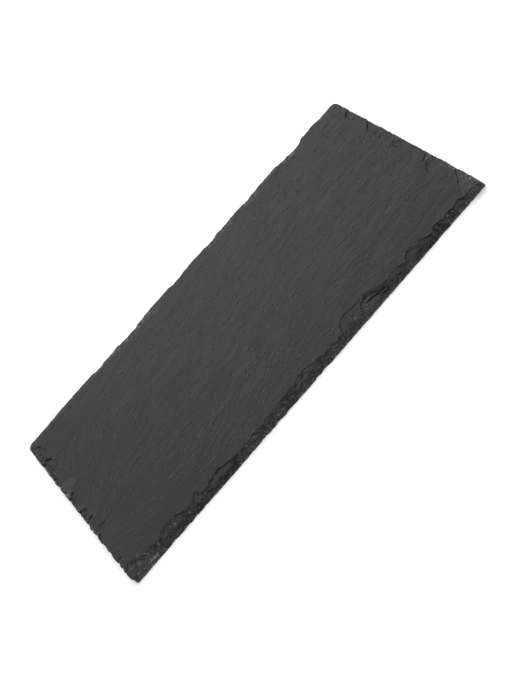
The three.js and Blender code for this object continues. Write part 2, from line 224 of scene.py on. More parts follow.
# splits where a layer has opened: width and depth in the middle, and the line it follows in plan
splits = [
    (0.8, 0.7, [(-145.6, 56.4), (-144.5, 55.6), (-142.8, 54.2)]), (1.1, 0.9, [(-149, 54.8), (-148.4, 53.8)]),
    (0.5, 0.4, [(-142.9, 51), (-141.8, 49.4)]), (0.9, 1, [(-145.7, 43.8), (-144, 42.6), (-141.7, 41.3)]),
    (0.9, 0.8, [(-148.6, 46.3), (-147.6, 46)]), (0.8, 0.6, [(-148, 39.4), (-147.2, 38)]),
    (0.6, 0.4, [(-146.5, 34.2), (-145.2, 32.4)]), (0.7, 0.7, [(-147, 9.9), (-145.6, 10.2), (-144.4, 10.9)]),
    (1, 0.9, [(-148.6, 8.9), (-147.6, 8.4)]), (1.2, 1, [(-148.8, -3.3), (-147.6, -3.5)]),
    (0.7, 0.6, [(-146.2, -5), (-144.4, -5.2)]),
    (0.7, 0.7, [(-146.8, -11.8), (-144.8, -11.4), (-142.9, -10.9)]),
    (1.1, 1, [(-148.1, -24.6), (-146.7, -24.8)]), (0.9, 0.8, [(-149.2, -45.7), (-147.8, -46.2)]),
    (0.9, 0.5, [(-147.4, 50.2), (-145.2, 49.6)]), (0.9, 0.6, [(-147, 47.2), (-145.4, 46)]),
    (1.1, 0.8, [(-148.7, 43), (-148.2, 41.2)]), (0.9, 0.6, [(-147.2, 40.4), (-145.8, 39.4)]),
    (0.9, 0.6, [(-146.6, 37.4), (-144.6, 36.8)]), (1, 0.7, [(-148.6, 32.2), (-147.4, 30.8)]),
    (0.9, 0.6, [(-149.3, 28.8), (-147.8, 27.6)]), (0.9, 0.5, [(-149.2, 24.6), (-148, 24)]),
    (1, 0.6, [(-149, 15.6), (-147.9, 13.8)]), (0.9, 0.6, [(-149.2, -6.6), (-147.8, -7.4)]),
    (1, 0.7, [(-149.2, -9), (-147.8, -9.3)]), (0.9, 0.6, [(-149.2, -14.8), (-147.6, -15.8)]),
    (1, 0.3, [(-145.6, -20.6), (-142, -21.4), (-138.8, -21)]),
    (1, 0.8, [(-148.6, -26.1), (-147.4, -26.7)]), (0.9, 0.5, [(-149, -29.6), (-148, -30.4)]),
    (0.9, 0.5, [(-149, -34), (-148, -34.8)]), (0.9, 0.6, [(-146.2, -44.6), (-145, -45.8)]),
    (1, 0.8, [(143.8, 44.8), (146, 46.4), (148, 47.8)]), (0.7, 0.5, [(145.4, 38.9), (146.6, 39.9)]),
    (0.5, 0.5, [(141.8, 24), (144.6, 25.9), (147.2, 28.2), (147.5, 29.6)]),
    (0.8, 0.5, [(140.6, 19.2), (141.4, 19.9)]), (0.5, 0.3, [(142.3, 12.2), (145.2, 15.2)]),
    (0.5, 0.5, [(141.8, -22.2), (145, -21.2), (148.4, -20.2)]),
    (0.5, 0.5, [(137.6, -30.6), (139.4, -27.6), (142.2, -25.4), (144.6, -23.6)]),
    (0.9, 1, [(54.6, -56.3), (58, -56.3), (62, -57.4), (66.5, -58)]),
    (0.7, 0.8, [(61.5, -60), (65, -59.6), (67.4, -60.4), (71, -59.4)]),
    (1.1, 1.1, [(-62.5, -59.3), (-59, -60.1), (-55.5, -61.7)]),
    (0.4, 0.3, [(-79.4, -59.6), (-74.5, -59), (-70, -59.2)]),
    (0.5, 0.6, [(85.6, -60), (93, -60.2), (98, -60)]),
    (0.8, 0.9, [(97, -59.9), (100, -60.3), (104.4, -61.6)]),
    (0.5, 0.5, [(-22, -56.9), (-14, -57.2), (-8.6, -56.6)]),
    (0.6, 0.6, [(108.5, -58.8), (110.8, -59.8), (113.2, -59)]),
    (0.6, 0.6, [(111.5, -56.8), (115, -57.6), (119.6, -58.8)]),
    (0.9, 0.9, [(113.6, -60.8), (116, -60.2), (119, -60.6)]), (1.2, 0.9, [(110, -60), (111.4, -60.2)]),
    (1, 0.9, [(112.8, -61.4), (114.4, -61.6)]), (0.9, 0.7, [(113.4, -58.4), (115, -58.8)]),
    (0.4, 0.4, [(-121.6, -55.2), (-121, -56.6), (-120.4, -57.8)]),
    (0.5, 0.5, [(-120, -60), (-115.5, -60.2), (-112, -59.6), (-104.5, -59.8)]),
    (0.4, 0.4, [(-112.6, -54.8), (-111.4, -56.2), (-110.2, -57.4)]),
    (0.4, 0.4, [(-149, -52.5), (-144, -52.3), (-139, -52.8)]),
    (0.5, 0.5, [(-137.6, -55.3), (-134, -55.6), (-130.6, -56.4)]),
    (0.4, 0.4, [(-39.6, -55.4), (-37.6, -56.6)]), (0.6, 0.5, [(-4, -61), (0, -60.6), (3.5, -61.2)]),
]

# faint steps on the split face: height, and the line in plan, with the lower side on its right
faceSteps = [
    (0.12, [(-50, 36.5), (-38, 43), (-28, 46.3), (-14, 44.8), (-5, 47.3), (2, 47.5)]),
    (0.08, [(50, 36), (57, 36.6), (64, 37.5)]), (0.08, [(-110, -7), (-96, -4.6), (-80, -3.5)]),
    (0.08, [(-20, -10), (-6, -7), (10, -4)]), (0.07, [(-20, -30), (0, -29)]), (0.07, [(50, -24), (70, -24)]),
    (0.08, [(-146, 10), (-141, 12.4), (-135, 15.5)]), (0.07, [(-96, 14), (-84, 20), (-76, 27)]),
]

# pale bruises: centre, half length along the slab and half width
flecks = [
    (-131, -60.7, 2.9, 0.6), (-128.6, -61, 0.9, 0.9), (-133.6, -60.4, 0.7, 1.1), (-137.5, -52.6, 0.8, 0.35),
    (-133.5, -55.4, 0.9, 0.5), (-132, -57, 0.7, 0.5), (51.6, -58.4, 0.6, 0.7), (-81.2, -62, 0.9, 0.5),
    (-51.2, -58.1, 0.8, 0.5), (-44.8, -58.4, 1.3, 0.5), (43.5, -57.7, 0.8, 0.3), (53.2, -57.2, 0.8, 0.45),
    (134.2, -61, 0.7, 0.7), (142.3, -58, 0.6, 0.4), (145.4, -52.4, 0.6, 0.5), (-109.8, -57.1, 0.7, 0.6),
    (-99.5, -59.3, 1, 0.6), (-124, -57.5, 0.7, 0.6), (-124, -61.6, 0.9, 0.6), (-26, -60.8, 0.6, 0.8),
    (-18.5, -58.7, 0.7, 0.6), (-139.5, -57.4, 0.9, 0.45), (-143.5, -60, 0.8, 0.7), (145.3, -22.4, 0.6, 0.9),
    (146.2, -34, 0.5, 0.7), (145.2, -36.4, 0.4, 0.4), (146, 16, 0.5, 0.5), (146.4, -25.4, 0.5, 0.6),
    (145.6, -32.4, 0.6, 0.5), (147, -38.4, 0.5, 1.2), (147, -42, 0.5, 0.8), (145.4, -49, 0.7, 0.6),
    (146.5, -54.5, 0.5, 0.8), (146.6, -57.4, 0.5, 0.7),
]

# where a rim is knocked pale: start, end, reach inward and strength
knocks = {
    "near": [
        (-150, -132, 3, 0.35), (-122, -100, 3, 0.3), (-92, -80, 3, 0.4), (-56, -42, 6, 0.35),
        (-40, 48, 2, 0.3), (-32, -20, 6, 0.15), (18, 28, 6, 0.35), (100, 150, 2, 0.3), (106, 130, 6, 0.35),
    ],
    "far": [
        (-150, 150, 2.6, 0.25), (-149, -141, 3.5, 0.5), (-141, -82, 4, 0.3), (-84, -64, 4, 0.6),
        (-66, -42, 6, 0.55), (-43, -27, 6, 0.4), (21, 33, 5, 0.4), (33, 49, 4, 0.5), (59, 74, 6, 0.35),
        (73, 90, 3, 0.4), (95, 113, 6, 0.35), (112, 131, 3, 0.3), (133, 150, 4, 0.5),
    ],
    "left": [
        (-63, 63, 2.2, 0.3), (-52, -40, 2.5, 0.35), (-25, -3, 3, 0.45), (8, 16, 4, 0.5), (38, 51, 3, 0.35),
        (54, 62, 5, 0.3),
    ],
    "right": [
        (-63, 63, 1.6, 0.12), (-60, -48, 5, 0.5), (-38, -32, 5, 0.4), (-25, -18, 5, 0.5), (13, 19, 4, 0.4),
        (33, 54, 2, 0.3),
    ],
}

# how pale or dark the near wall is along its length: place, reach and strength
nearWallTints = [
    (-134, 9, 2), (-112, 9, -0.6), (-94, 7, -0.4), (-65, 10, -1.2), (-42, 8, 0.6), (-7, 8, -0.6),
    (24, 7, 0.6), (54, 6, 0.8), (76, 7, -0.6), (87, 4, 0.8), (104, 9, -0.8), (115, 8, -0.6),
]

# unevenness, as noise added up: height, size and seed of each part
unevenness = {
    "alongOutline": [(1, 5, 4), (0.5, 1.7, 9)],  # how the flakes' outlines wander
    "inwardOutline": [(1, 5, 14), (0.5, 1.7, 19)],
    "ledge": [(2.6, 7, 31)],  # where a flake came away in two layers
    "lineFading": [(1.5, 4, 44)],  # where the dark line round a flake fades out
    "facetBend": [(0.5, 1.5, 60)],
    "crumbs": [(0.1, 0.7, 63)],
    "wearReach": [(0.9, 8, 70)],
    "jag": [(0.3, 9, 0), (0.2, 2.6, 3), (0.22, 1.1, 8)],  # what the layers of a wall share
    "layerJag": [(0.24, 5, 10), (0.24, 1.6, 20)],  # and what each has of its own
    "stepLine": [(0.8, 6, 80)],
    "wallSlant": [(1, 5, 57)],
    "wallHeight": [(0.12, 3, 50)],
    "wallDark": [(1.5, 7, 59)],
}


def rough(x, y, z=0.0):
    return noise.noise(Vector((x, y, z)))


def uneven(name, x, y, shift=0):
    return sum(high * rough(x / size, y / size, seed + shift) for high, size, seed in unevenness[name])


# unevenness that changes only along a side
def unevenAlong(name, side, along, shift=0):
    row = sides[side]["seed"]
    return sum(high * rough(along / size, row, seed + shift) for high, size, seed in unevenness[name])


# from 0 to 1, with soft ends
def ramp(value):
    value = min(1, max(0, value))
    return value * value * (3 - 2 * value)


# a point as (along, inward) from one side of the slab
def measured(side, x, y):
    if side in ("near", "far"):
        return x, halfWidth + (y if side == "near" else -y)
    return y, halfLength + (x if side == "left" else -x)


# the point that lies so far along a side and inward from it
def standing(side, along, inward):
    if side in ("near", "far"):
        return along, inward - halfWidth if side == "near" else halfWidth - inward
    return inward - halfLength if side == "left" else halfLength - inward, along


# signed distance in from a rounded flake's outline
def lobeDistance(at, wide, reach, skew, square, along, inward):
    def outside(a, i):
        across = (a - at) * 2 / wide
        if skew:
            across = (1 - sqrt(max(0, 1 + 4 * skew * (skew - across)))) / (2 * skew)
        return abs(across) ** square + (max(i, 0) / reach) ** square - 1

    here = outside(along, inward)
    step = 0.05
    slope = hypot(outside(along + step, inward) - here, outside(along, inward + step) - here) / step
    return -here / max(slope, 0.05)


# signed distance in from a flake's drawn outline
def outlineDistance(points, along, inward):
    nearest = 1e9
    inside = False
    for i, (ax, ay) in enumerate(points):
        bx, by = points[i - 1]
        dx, dy = bx - ax, by - ay
        t = min(1, max(0, ((along - ax) * dx + (inward - ay) * dy) / (dx * dx + dy * dy)))
        nearest = min(nearest, hypot(along - ax - t * dx, inward - ay - t * dy))
        if (ay > inward) != (by > inward) and along < ax + (inward - ay) * dx / dy:
            inside = not inside
    return nearest if inside else -nearest


# nearest point of a line in plan: how far off, how far along the line, and which side of it this is
def nearLine(line, x, y):
    total = sum(hypot(bx - ax, by - ay) for (ax, ay), (bx, by) in zip(line, line[1:]))
    found = (1e9, 0, 1)
    gone = 0
    for (ax, ay), (bx, by) in zip(line, line[1:]):
        dx, dy = bx - ax, by - ay
        length = hypot(dx, dy)
        t = min(1, max(0, ((x - ax) * dx + (y - ay) * dy) / (length * length)))
        away = hypot(x - ax - t * dx, y - ay - t * dy)
        if away < found[0]:
            found = (away, (gone + t * length) / total, dx * (y - ay) - dy * (x - ax))
        gone += length
    return found


# facets of hackly broken stone: height, size and seed, and how much they tilt and step
hackles = {"coarse": (0.5, 3.2, 61), "fine": (0.26, 1.3, 62), "tilt": 1.6, "step": 0.9}


# a surface broken into little tilted facets
def facets(name, x, y):
    high, size, seed = hackles[name]
    point = Vector((x / size, y / size, seed))
    centre = noise.voronoi(point)[1][0]
    tilt = noise.cell_vector(centre * 7.1) - Vector((0.5, 0.5, 0.5))  # 7.1 sets neighbours apart
    offset = point - centre
    return high * (hackles["tilt"] * (tilt.x * offset.x + tilt.y * offset.y) + hackles["step"] * tilt.z)


def hackle(x, y):
    bend = uneven("facetBend", x, y)
    return facets("coarse", x + bend, y + bend) + facets("fine", x, y) + uneven("crumbs", x, y)


# painted shade: the dark lines at the foot of flakes and in splits
creases = {
    "riser": 0.28,  # run of the little cliff round a flake
    "half": 0.25,  # half width of the line at its foot
    "core": 0.2,  # how far past its half width a line is at its darkest
    "fade": 0.5,  # and how far it fades from there
    "ledgeLine": 0.8,  # how dark a second ledge's line is beside the first
    "widestGap": 4,  # half widths from a line's middle, past which it doesn't matter
    "splitEnds": 0.45,  # how wide and deep a split's ends are beside its middle
    "splitEdge": 0.15,  # how far outside its width its slope starts
    "splitDark": 1.3,  # how dark its line is for its depth
}
noCreaseShade = (9, 0, 4)


# a painted shade line: distance from its middle, how dark it is there, and the signed distance, in half
# widths
def creaseShadeAt(distance, half, dark):
    gap = min(creases["widestGap"], max(-creases["widestGap"], distance / half))
    faded = ramp((abs(distance) - half - creases["core"]) / creases["fade"])
    return abs(gap), min(1, dark) * (1 - faded), gap


# the flakes near a point: signed distance in from the outline, depth and hackliness of the floor, how dark
# the painted shade line is, and how pale the floor
def flakesAt(side, along, inward):
    found = []
    for at, wide, reach, deep, skew, square, fall, hackly, dark, pale in roundedFlakes.get(side, []):
        if abs(along - at) < wide / 2 + 1 and inward < reach + 1:
            depth = deep + fall * (reach - inward)
            distance = lobeDistance(at, wide, reach, skew, square, along, inward)
            found.append((distance, depth, hackly, dark, pale))
    for deep, (riseAlong, riseInward), hackly, dark, lined, pale, outline in angularFlakes.get(side, []):
        at, reach = outline[0]
        if inward < slab["brokenReach"] and abs(along - at) < 38:  # no outline is wider than this
            depth = deep - riseAlong * (along - at) - riseInward * (inward - reach)
            depth = max(slab["shallowest"], depth)
            shown = dark * ramp(along - lined[0]) * ramp(lined[1] - along)
            found.append((outlineDistance(outline, along, inward), depth, hackly, shown, pale))
    return found


# the painted shade line round flakes, where they go deeper than what lies round them
def flakeCreaseShade(found, ledge, along, inward):
    creaseShade = noCreaseShade
    patchy = ramp(0.75 + uneven("lineFading", along, inward))
    for i, (distance, depth, _, dark, _) in enumerate(found):
        others = found[:i] + found[i + 1:]
        around = max([other[1] for other in others if other[0] > 0], default=0)
        if depth > around:
            dark *= min(1, depth - around + 0.3) * patchy
            foot = distance - creases["riser"]
            creaseShade = min(creaseShade, creaseShadeAt(foot, creases["half"], dark))
            if ledge > 0.4:
                dark *= creases["ledgeLine"]
                creaseShade = min(creaseShade, creaseShadeAt(foot - ledge, creases["half"], dark))
    return creaseShade


# what one side's flakes have done at a point: depth, freshness, hackliness and paleness, and the painted
# shade line
def flakeState(side, x, y):
    along, inward = measured(side, x, y)
    along += uneven("alongOutline", along, inward)
    inward += uneven("inwardOutline", along, inward)
    ledge = max(0, uneven("ledge", along, inward) - 0.1)
    found = flakesAt(side, along, inward)
    state = (0, 0, 0, 0)
    for distance, depth, hackly, _, pale in found:
        if distance > 0:
            run = creases["riser"]
            cliff = 0.5 * ramp(distance / run) + 0.5 * ramp((distance - ledge) / run)
            edge = ramp(distance / 0.3)
            state = max(state, (depth * cliff, sides[side]["fresh"] * edge, hackly * edge, pale * edge))
    return state, flakeCreaseShade(found, ledge, along, inward)


# how a rim has crumbled between its flakes: depth lost, raggedness, and how pale it is knocked
def wearState(side, x, y):
    along, inward = measured(side, x, y)
    reach = sides[side]["wearReach"] * (0.8 + unevenAlong("wearReach", side, along))
    worn = max(0, 1 - max(0, inward) / reach)
    knocked = 0
    for start, end, far, strength in knocks[side]:
        if start < along < end and inward < far:
            within = ramp((along - start) / slab["knockFade"]) * ramp((end - along) / slab["knockFade"])
            knocked = max(knocked, strength * within * ramp(1.8 * (1 - inward / far)))
    return sides[side]["wearDepth"] * worn ** 1.5, ramp(worn * 2), knocked


# how deep the splits are at a point, and the painted shade line in them
def splitState(x, y):
    deepest = 0
    creaseShade = noCreaseShade
    for wide, deep, line in splits:
        if abs(x - line[0][0]) > 20 or abs(y - line[0][1]) > 12:  # no split is longer than this
            continue
        away, along, turn = nearLine(line, x, y)
        full = creases["splitEnds"] + (1 - creases["splitEnds"]) * sin(pi * along)
        half = wide / 2 * full
        edge = creases["splitEdge"]
        if away < half + 1:
            deepest = max(deepest, deep * full * ramp((half + edge - away) / (half / 2 + edge)))
            if 0 < along < 1:
                dark = creases["splitDark"] * deep * full
                creaseShade = min(creaseShade, creaseShadeAt(away if turn > 0 else -away, half, dark))
    return deepest, creaseShade


# depth lost on the lower side of the faint steps of the face
def stepDrop(x, y):
    drop = 0
    for high, line in faceSteps:
        if not line[0][0] - 6 < x < line[-1][0] + 6 or abs(y - line[0][1]) > 30:
            continue
        away, along, turn = nearLine(line, x, y + uneven("stepLine", x, y))
        if turn < 0:
            drop += high * sin(pi * along) * exp(-away / slab["stepFade"])
    return drop


def fleckAt(x, y):
    found = 0
    for at, across, long, wide in flecks:
        found = max(found, ramp(1.5 - 1.2 * hypot((x - at) / long, (y - across) / wide)))
    return found


# relief of the split face: height, length along the grain, width and seed of each kind of wave
riven = {
    "swell": (0.05, 70, 28, 0),
    "patch": (1.4, 32, 16, 5),
    "streak": (1, 14, 2.6, 9),
    "steps": (4, 45, 9, 21),
    "under": 0.16,  # how far the face lies under its highest points
    "layer": 0.035,  # height of a step from one layer to the next
    "stepSlope": 6,  # how much steeper than the wave a step is
    "calmStreak": 0.015,  # height of the streaks where it is calm, and how much more in patches
    "patchStreak": 0.035,
}


# how far the split face lies under its highest points
def rivenRelief(x, y, sheet):
    turn = radians(slab["grainTilt"])
    u = x * cos(turn) + y * sin(turn)
    v = y * cos(turn) - x * sin(turn)

    def wave(name):
        high, long, wide, seed = riven[name]
        return high * rough(u / long, v / wide, sheet + seed)

    steps = wave("steps")
    layer = (steps // 1 + ramp((steps % 1) * riven["stepSlope"])) * riven["layer"]
    streak = (riven["calmStreak"] + riven["patchStreak"] * ramp(0.5 + wave("patch"))) * wave("streak")
    return riven["under"] - wave("swell") - layer - streak


# the broken top at a point: depth lost, how fresh, crumbly, pale and bruised the break is, and the painted
# shade line with the distance from it
def topState(x, y):
    drop, fresh, crumbly, pale, bruise = stepDrop(x, y), 0, 0, 0, 0
    creaseShade = noCreaseShade
    for side, shape in sides.items():
        if measured(side, x, y)[1] > shape["fine"] + 0.5:
            continue
        (depth, broken, hackly, tint), line = flakeState(side, x, y)
        worn, ragged, knocked = wearState(side, x, y)
        if depth > drop:
            drop, pale = depth, tint
        drop += worn
        fresh = max(fresh, broken, 0.5 * ragged)
        crumbly = max(crumbly, hackly, ragged)
        bruise = max(bruise, knocked)
        creaseShade = min(creaseShade, line)
    if crumbly > 0:
        drop += crumbly * max(-drop, 0.5 * hackle(x, y))
    if min(measured(side, x, y)[1] for side in sides) < slab["brokenReach"]:
        crack, line = splitState(x, y)
        drop += crack
        creaseShade = min(creaseShade, line)
        bruise = max(bruise, fleckAt(x, y))
    return drop, fresh, crumbly, pale, bruise, creaseShade[1], creaseShade[2]


def biteAt(side, along):
    deepest = 0
    for at, wide, reach, square in bites.get(side, []):
        across = abs(along - at) * 2 / wide
        if across < 1:
            deepest = max(deepest, reach * (1 - across ** square) ** (1 / square))
    return deepest


# how ragged one cleavage layer is broken along a side
def jag(side, along, layer):
    own = unevenAlong("layerJag", side, along, 3.7 * layer)
    return sides[side]["jag"] * (unevenAlong("jag", side, along) + own)


# how far in a side stands at one layer, below a rim of a given height
def insetAt(side, along, layer, rim):
    shape = sides[side]
    up = rim * (layer + 0.5) / slab["layers"]
    part = min(1, max(0, (up - shape["low"]) / (shape["high"] - shape["low"])))
    nearness = (halfWidth - along) / (2 * halfWidth)
    head = shape["head"] + shape["twist"] * nearness
    foot = shape["foot"] + biteAt(side, along)
    if side == "near":
        head -= slab["narrowing"] * ramp((along - slab["narrowingFrom"]) / slab["narrowingRun"])
    else:
        head += biteAt(side, along)
    inset = foot + (head - foot) * part + (1 + shape["loose"] * part) * jag(side, along, layer)
    return max(0, inset + shape["taper"] * nearness)


rimStates = {}


# height of the top along the rim of a side, and how crumbly and how pale it is there
def rimState(side, along):
    key = (side, round(along, 2))
    if key not in rimStates:
        height = thickness
        for _ in range(slab["rimSteps"]):
            x, y = standing(side, along, insetAt(side, along, slab["layers"] - 1, height))
            state = topState(x, y)
            height = thickness - rivenRelief(x, y, 0) - state[0]
        rimStates[key] = (height, state[2], state[3])
    return rimStates[key]


# the lowest rim above a point of the block's wall, and how crumbly and how pale it is
def rimOver(x, y):
    return min(rimState(side, measured(side, x, y)[0]) for side in sides if measured(side, x, y)[1] < tiny)


# a square corner drawn round
def roundedCorner(x, y):
    radius = slab["nearCorner"]
    if y > 0:
        radius = slab["farLeftCorner"] if x < 0 else slab["farRightCorner"]
    dx = abs(x) - (halfLength - radius)
    dy = abs(y) - (halfWidth - radius)
    if dx <= 0 or dy <= 0:
        return x, y
    shrink = max(dx, dy) / hypot(dx, dy)
    newX = halfLength - radius + dx * shrink
    newY = halfWidth - radius + dy * shrink
    return newX if x > 0 else -newX, newY if y > 0 else -newY


# where a point of the squared block goes in plan, at one layer
def planPlace(x, y, layer):
    x, y = roundedCorner(x, y)
    shift = {}
    for side in sides:
        along, inward = measured(side, x, y)
        hold = max(0, 1 - inward / slab["pull"])
        shift[side] = insetAt(side, along, layer, rimState(side, along)[0]) * hold if hold else 0
    return x + shift["left"] - shift["right"], y + shift["near"] - shift["far"]


def cutEdges(bm, axis, cuts, wanted):
    chosen = []
    for edge in bm.edges:
        a, b = edge.verts[0].co, edge.verts[1].co
        run = b - a
        if abs(run[axis]) > 0.99 * run.length and wanted((a + b) / 2):
            chosen.append(edge)
    bmesh.ops.subdivide_edges(bm, edges=chosen, cuts=cuts, use_grid_fill=True)


# the squared block, cut fine on top and along its sides and coarse underneath
def squaredBlock():
    bm = bmesh.new()
    bmesh.ops.create_cube(bm, size=1)
    bmesh.ops.scale(bm, vec=(2 * halfLength, 2 * halfWidth, thickness), verts=bm.verts)
    bmesh.ops.translate(bm, vec=(0, 0, thickness / 2), verts=bm.verts)

    def isTop(p):
        return p.z > thickness - tiny

    def isLongSide(p):
        return abs(p.y) > halfWidth - tiny

    def isEnd(p):
        return abs(p.x) > halfLength - tiny

    def isFine(p):
        return any(measured(side, p.x, p.y)[1] < sides[side]["fine"] for side in sides)

    cutEdges(bm, 0, slab["columns"] - 1, lambda p: True)
    cutEdges(bm, 1, slab["rows"] - 1, lambda p: True)
    cutEdges(bm, 0, 1, lambda p: isTop(p) or isLongSide(p))
    cutEdges(bm, 1, 3, lambda p: isTop(p) or isEnd(p))
    cutEdges(bm, 1, 1, lambda p: isEnd(p) or (isTop(p) and isFine(p)))
    cutEdges(bm, 0, 3, lambda p: isLongSide(p) or (isTop(p) and isFine(p)))
    cutEdges(bm, 2, 2 * slab["layers"] - 2, lambda p: True)
    return bm


# the layered walls, and the underside
walls = {
    "slant": 0.1,  # how far points lie from the line between layers, in layers, and how much further they may
    "slantMore": 0.35,
    "crumbly": 0.25,  # how crumbly it is under a sound rim, and how much more under a crumbly one
    "crumblyMore": 0.65,
    "bruise": 0.15,  # how pale it is knocked, and how much more so at the foot, over this many rows
    "footBruise": 0.4,
    "footRows": 5,
    "rimTint": 0.5,  # how much it has of its rim's paleness
    "shade": 0.7,  # how dark the painted shade is in places right under the rim
    "undersideRelief": 0.5,  # height of its ripples beside the top's, and where in their noise they are
    "undersideSheet": 40,
}

fans = ("fanFar", "fanNear", "fanRight")
surfaceMarks = ("fresh", "crumbly", "pale", "bruise", "creaseShade", "creaseShadeGap", *fans)

# where the grain fans out: start from the slab's middle, run, and wander with its seed
fanPlaces = {"left": (88, 14, 12, 90), "far": (2, 10, 12, 93), "near": (18, 10, 12, 96),
             "right": (58, 24, 16, 99)}


# how far the grain has turned from its usual line at the far left, the near left and the right
def fanning(x, y):
    def turned(way, place):
        start, run, wander, seed = fanPlaces[way]
        return ramp((place - start + wander * rough(x / 20, y / 20, seed)) / run)

    left = turned("left", -x)
    return left * turned("far", y), left * turned("near", -y), turned("right", x - 0.9 * y)


# height of a point of the wall, and its surface marks
def wallPoint(x, y, row, topRow, newX, newY):
    rim, crumbly, pale = rimOver(x, y)
    level = (row + 1) // 2
    slant = walls["slant"] + walls["slantMore"] * ramp(0.5 + uneven("wallSlant", x, y, level))
    z = rim * (level + (slant if row % 2 == 0 else -slant)) / slab["layers"]
    tint = walls["rimTint"] * pale
    if y < tiny - halfWidth:
        tint += sum(strength * exp(-((newX - at) / reach) ** 2) for at, reach, strength in nearWallTints)
    knocked = walls["bruise"] + walls["footBruise"] * max(0, 1 - row / walls["footRows"])
    # painted shade in places on the row right under the rim, carried in the crease shade mark
    dark = walls["shade"] * ramp(uneven("wallDark", x, y)) if row == topRow - 1 else 0
    broken = walls["crumbly"] + walls["crumblyMore"] * crumbly
    bruise = max(fleckAt(newX, newY), knocked)
    return z + uneven("wallHeight", x, y, level), (1, broken, tint, bruise, dark, 0)


# every point of the block goes to its place on the slab, and takes its surface marks there
def shapeSlab(bm):
    topRow = 2 * slab["layers"] - 1
    places = {}
    layers = [bm.verts.layers.float.new(name) for name in surfaceMarks]
    for vert in bm.verts:
        x, y, z = vert.co
        row = round(z / thickness * topRow)
        newX, newY = planPlace(x, y, row // 2)
        if row == topRow:
            drop, *marks = topState(newX, newY)
            newZ = thickness - rivenRelief(newX, newY, 0) - drop
        elif row > 0:
            newZ, marks = wallPoint(x, y, row, topRow, newX, newY)
        elif abs(x) > halfLength - tiny or abs(y) > halfWidth - tiny:
            newZ = 0
            marks = (1, 1, 0, 0, 0, 0)
        else:
            newZ = walls["undersideRelief"] * rivenRelief(newX, newY, walls["undersideSheet"])
            marks = (0, 0, 0, 0, 0, 0)
        places[vert] = (newX, newY, newZ, (*marks, *fanning(newX, newY)))
    for vert, (x, y, z, marks) in places.items():
        vert.co = (x + centreX, y + centreY, min(max(z, 0), thickness))
        for layer, mark in zip(layers, marks):
            vert[layer] = mark


# the slate's finish: colours, then lengths in millimetres and turns in degrees
slateFinish = {
    "face": (0.0195, 0.0195, 0.0198),
    "faceDark": (0.005, 0.005, 0.005),
    "facePale": (0.05, 0.05, 0.0505),
    "broken": (0.032, 0.032, 0.0323),
    "brokenDark": (0.012, 0.012, 0.012),
    "brokenPale": (0.042, 0.042, 0.0425),
    "brokenPalest": (0.07, 0.07, 0.071),
    "bruise": (0.2, 0.2, 0.202),
    # the colour of the painted shade in creases and splits, and right under the walls' rims
    "creaseShade": (0.004, 0.004, 0.004),
    "specular": 0.2,
    "roughness": 0.6,
    "brokenRoughness": 0.3,  # how much rougher a fresh break is
    "cloudRoughness": 0.25,  # how much the clouds change it
    "bump": 0.2,
    "bendLength": 15,  # the grain wanders this much over this length
    "bend": 4.5,
    "slip": -0.48,  # from the flank of a ridge with painted highlight to the one with painted shade
    "fanFarTilt": 38,  # tilt of the grain where it fans out
    "fanNearTilt": -24,
    "fanRightTilt": 0,
}

# the slate's patterns: length along the grain, width, detail and seed of each
patterns = {
    "dashes": (2.6, 0.56, 0, 3),  # short strokes
    "threads": (18, 0.6, 0, 7),  # long thin ones
    "specks": (0.9, 0.55, 0, 5),
    "ledges": (18, 2.6, 1.5, 11),  # edges of the thinnest layers
    "patches": (30, 12, 2, 17),  # where strokes are a little stronger
    "tufts": (6, 3, 1, 19),  # where they gather
    "clouds": (45, 18, 3, 23),
    "grain": (0.4, 0.4, 2, 31),
    "lumps": (3.2, 2.2, 3, 37),  # of broken stone
    "crumbs": (1.1, 0.8, 0, 41),
}

# the split face: how strong each pattern is in its colour, then how strong the strokes are from place to
# place, with places in millimetres along the slab
faceLook = {
    "dashes": 0.66,
    "threads": 0.74,
    "specks": 0.55,
    "clouds": 0.3,
    "ledges": 0.23,
    "floors": 0.08,  # of flakes
    "everywhere": 0.03,
    "inPatches": 0.1,
    "inTufts": 0.96,
    "fanNear": 0.65,  # how much calmer it is where the grain fans out
    "fanFar": 0.4,
    "lively": 0.4,  # how much livelier it gets from one place to another
    "livelyFrom": 30,
    "livelyTo": 80,
    "leftEnd": 0.018,  # how much paler it gets from one place to another
    "leftEndFrom": -120,
    "leftEndTo": -150,
    "strokeRelief": 0.6,
    "ledgeRelief": 0.16,
    "grainRelief": 0.03,
}

# broken stone: how dark the painted shade in the gaps between crumbs is, and how pale crumbs, dust and the
# middles of knocks
brokenLook = {
    "floors": 0.2,
    "gapShade": 0.9,
    "crumbs": 0.6,
    "dust": 0.15,
    "chalk": 0.4,
    "crumbRelief": 0.7,
    "lumpRelief": 0.4,
    "grainRelief": 0.4,
}

slate = bpy.data.materials.new("rivenSlate")
slate.use_nodes = True
tree = slate.node_tree


# links inputs to other nodes' outputs, or sets them to numbers, vectors or colours
def feed(node, inputs):
    for socket, value in inputs.items():
        if isinstance(value, bpy.types.NodeSocket):
            tree.links.new(value, node.inputs[socket])
        else:
            node.inputs[socket].default_value = value


# one output of a new node
def made(output, kind, inputs, **settings):
    node = tree.nodes.new(kind)
    for name, value in settings.items():
        setattr(node, name, value)
    feed(node, inputs)
    return node.outputs[output]


def maths(operation, first, second=0):
    return made("Value", "ShaderNodeMath", {0: first, 1: second}, operation=operation)


def added(*values):
    total = values[0]
    for value in values[1:]:
        total = maths("ADD", total, value)
    return total


def less(first, second):
    return maths("SUBTRACT", first, second)


def times(first, second):
    return maths("MULTIPLY", first, second)


def vectors(operation, first, second, socket=1):
    return made("Vector", "ShaderNodeVectorMath", {0: first, socket: second}, operation=operation)


